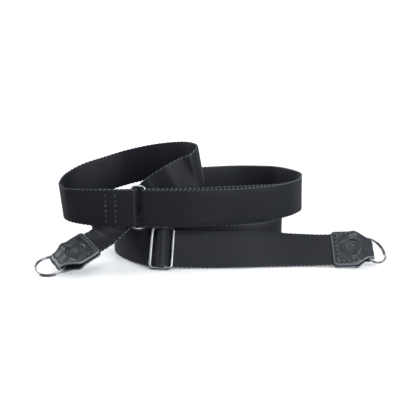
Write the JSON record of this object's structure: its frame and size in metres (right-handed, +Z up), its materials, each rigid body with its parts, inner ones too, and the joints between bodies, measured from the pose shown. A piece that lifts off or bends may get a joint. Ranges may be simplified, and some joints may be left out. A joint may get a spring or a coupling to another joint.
{
  "type": "coiled camera strap",
  "caption": "Adjustable neck strap of flat dark webbing, loosely coiled on edge, with a wire slider, a wire link ring, folded leather end tabs and split rings.",
  "frame": {"origin": "centre of the bounding box, on the surface that the strap stands on", "axes": "+Z up; +X along the front run, from the left leather tab towards the right one; +Y away from the viewer of the front run"},
  "size_m": [0.229, 0.1328, 0.0779],
  "materials": {
    "webbing": "woven polyester, matt",
    "leather": "smooth cowhide, satin",
    "steel": "nickel plate, polished"
  },
  "bodies": {
    "root": {"webbing_long": "webbing", "webbing_short": "webbing", "leather_tab_left": "leather", "leather_tab_right": "leather", "adjuster_slider": "steel", "link_ring": "steel", "split_ring_left": "steel", "split_ring_right": "steel"}
  },
  "joints": []
}
